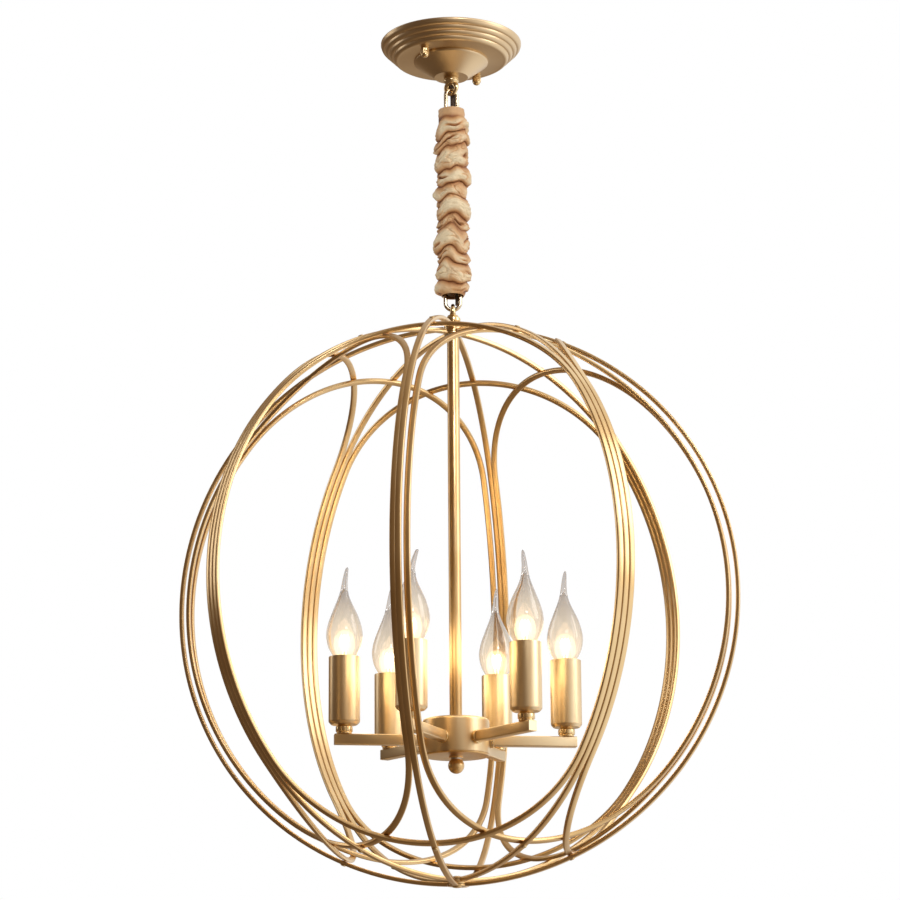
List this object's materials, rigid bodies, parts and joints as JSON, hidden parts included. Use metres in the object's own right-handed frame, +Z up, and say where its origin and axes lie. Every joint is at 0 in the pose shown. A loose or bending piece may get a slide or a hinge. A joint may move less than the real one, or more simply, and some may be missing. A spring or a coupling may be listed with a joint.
{
  "type": "orb chandelier",
  "caption": "Open ball of flat bars and looped bars hanging from a round ceiling canopy on a chain in a gathered cloth sleeve, with candle lamps on arms inside.",
  "frame": {"origin": "centre of the ceiling plane, on the fitting's axis, at the upper face of the bracket", "axes": "+Z up, out of the ceiling side; -Y towards the front meridian of the cage; the fitting hangs to -Z"},
  "size_m": [0.5499, 0.5499, 0.8504],
  "materials": {
    "gold_frame": "satin gold",
    "bright_brass": "polished",
    "zinc_steel": "zinc plated",
    "sleeve_cloth": "satin weave",
    "flex_jacket": "smooth",
    "holder_plastic": "matte",
    "lamp_glass": "clear",
    "lamp_cap": "nickel plated"
  },
  "bodies": {
    "canopy": {"ceiling_bracket": "zinc_steel", "bracket_studs": "zinc_steel", "canopy": "gold_frame", "canopy_nuts": "bright_brass", "canopy_locknut": "zinc_steel", "canopy_loop": "bright_brass"},
    "top_link": {"top_link": "bright_brass", "lead_upper": "flex_jacket"},
    "chain": {"chain_links": "bright_brass", "chain_sleeve": "sleeve_cloth", "lead_middle": "flex_jacket"},
    "bottom_link": {"bottom_link": "bright_brass", "lead_lower": "flex_jacket"},
    "cage": {"cage_eye": "bright_brass", "crown_locknut": "zinc_steel", "cage_ring_1": "gold_frame", "cage_ring_2": "gold_frame", "cage_ring_3": "gold_frame", "cage_ring_4": "gold_frame", "cage_petal_1": "gold_frame", "cage_petal_2": "gold_frame", "cage_petal_3": "gold_frame", "cage_petal_4": "gold_frame", "cage_petal_5": "gold_frame", "cage_petal_6": "gold_frame", "cage_petal_7": "gold_frame", "cage_petal_8": "gold_frame", "cage_screws": "gold_frame", "centre_rod": "gold_frame", "hub_shell": "gold_frame", "hub_plate": "gold_frame", "hub_nipple": "zinc_steel", "finial": "gold_frame", "arm_1": "gold_frame", "arm_2": "gold_frame", "arm_3": "gold_frame", "arm_4": "gold_frame", "arm_5": "gold_frame", "arm_6": "gold_frame", "arm_nuts": "gold_frame", "candle_collars": "gold_frame", "candle_cup_1": "gold_frame", "candle_cup_2": "gold_frame", "candle_cup_3": "gold_frame", "candle_cup_4": "gold_frame", "candle_cup_5": "gold_frame", "candle_cup_6": "gold_frame", "lamp_holders": "holder_plastic"},
    "lamp_1": {"lamp_glass_1": "lamp_glass", "lamp_cap_1": "lamp_cap"},
    "lamp_2": {"lamp_glass_2": "lamp_glass", "lamp_cap_2": "lamp_cap"},
    "lamp_3": {"lamp_glass_3": "lamp_glass", "lamp_cap_3": "lamp_cap"},
    "lamp_4": {"lamp_glass_4": "lamp_glass", "lamp_cap_4": "lamp_cap"},
    "lamp_5": {"lamp_glass_5": "lamp_glass", "lamp_cap_5": "lamp_cap"},
    "lamp_6": {"lamp_glass_6": "lamp_glass", "lamp_cap_6": "lamp_cap"}
  },
  "joints": [
    {"name": "loop_pivot", "type": "hinge", "parent": "canopy", "child": "top_link", "pos_m": [0, 0, -0.0498], "axis": [0.6428, 0.766, 0], "range_deg": [-15, 15]},
    {"name": "upper_chain_pivot", "type": "hinge", "parent": "top_link", "child": "chain", "pos_m": [0, 0, -0.0751], "axis": [-0.5, 0.866, 0], "range_deg": [-10, 10]},
    {"name": "lower_chain_pivot", "type": "hinge", "parent": "chain", "child": "bottom_link", "pos_m": [0, 0, -0.2522], "axis": [0.9848, 0.1736, 0], "range_deg": [-10, 10]},
    {"name": "eye_pivot", "type": "hinge", "parent": "bottom_link", "child": "cage", "pos_m": [0, 0, -0.2776], "axis": [-0.1736, 0.9848, 0], "range_deg": [-15, 15]},
    {"name": "lamp_1_out", "type": "slide", "parent": "cage", "child": "lamp_1", "axis": [0, 0, 1], "range_m": [0, 0.03]},
    {"name": "lamp_2_out", "type": "slide", "parent": "cage", "child": "lamp_2", "axis": [0, 0, 1], "range_m": [0, 0.03]},
    {"name": "lamp_3_out", "type": "slide", "parent": "cage", "child": "lamp_3", "axis": [0, 0, 1], "range_m": [0, 0.03]},
    {"name": "lamp_4_out", "type": "slide", "parent": "cage", "child": "lamp_4", "axis": [0, 0, 1], "range_m": [0, 0.03]},
    {"name": "lamp_5_out", "type": "slide", "parent": "cage", "child": "lamp_5", "axis": [0, 0, 1], "range_m": [0, 0.03]},
    {"name": "lamp_6_out", "type": "slide", "parent": "cage", "child": "lamp_6", "axis": [0, 0, 1], "range_m": [0, 0.03]}
  ]
}
